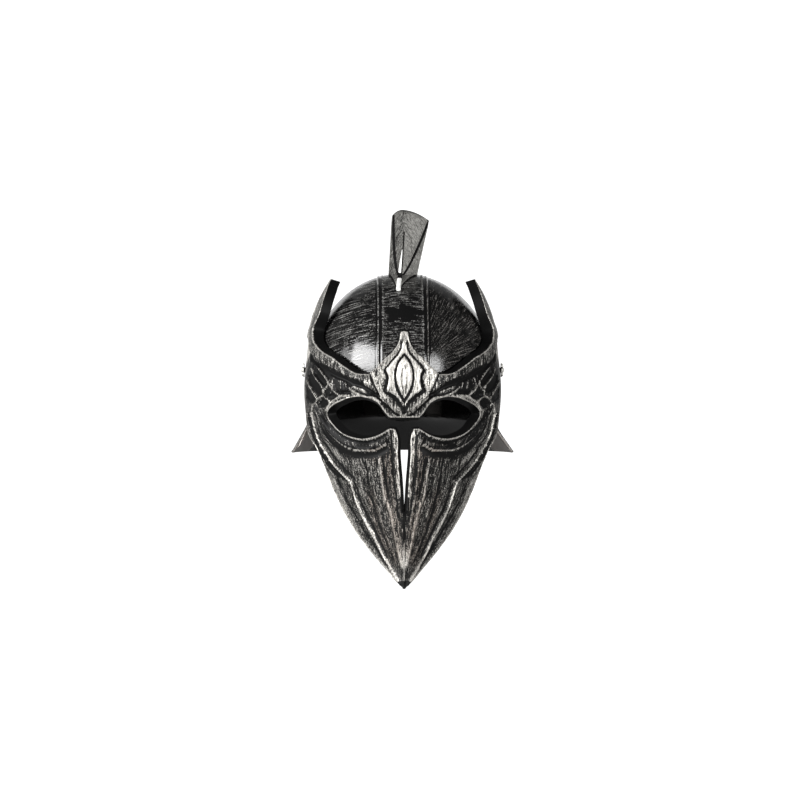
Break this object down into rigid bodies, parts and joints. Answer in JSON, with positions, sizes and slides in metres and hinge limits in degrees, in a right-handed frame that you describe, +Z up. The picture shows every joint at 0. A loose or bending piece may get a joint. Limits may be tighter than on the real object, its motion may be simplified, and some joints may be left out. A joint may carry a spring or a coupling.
{
  "type": "gladiator helmet",
  "caption": "Moulded plastic gladiator helmet: domed skull shell with a neck flare and a crest, and a pointed face mask that lifts on two temple rivets.",
  "frame": {"origin": "inner crown point of the skull shell, where the helmet sits on the top of a head", "axes": "+Z up out of the crown, the face looks along -Y, +X is the viewer's right, the mask's hinge runs along X through the temples"},
  "size_m": [0.214, 0.2759, 0.3552],
  "materials": {
    "skull_paint": "glossy black plastic dry-brushed with silver paint",
    "crest_paint": "black plastic dry-brushed heavily with grey silver paint",
    "mask_paint": "glossy black plastic dry-brushed with silver paint, brighter on the raised edges",
    "rivet_paint": "black plastic with silver on the raised petals"
  },
  "bodies": {
    "shell": {"skull_shell": "skull_paint", "crest": "crest_paint", "rivet_left": "rivet_paint", "rivet_right": "rivet_paint"},
    "visor": {"face_mask": "mask_paint"}
  },
  "joints": [
    {"name": "visor_hinge", "type": "hinge", "parent": "shell", "child": "visor", "pos_m": [0, -0.01, -0.0906], "axis": [-1, 0, 0], "range_deg": [0, 40]}
  ]
}
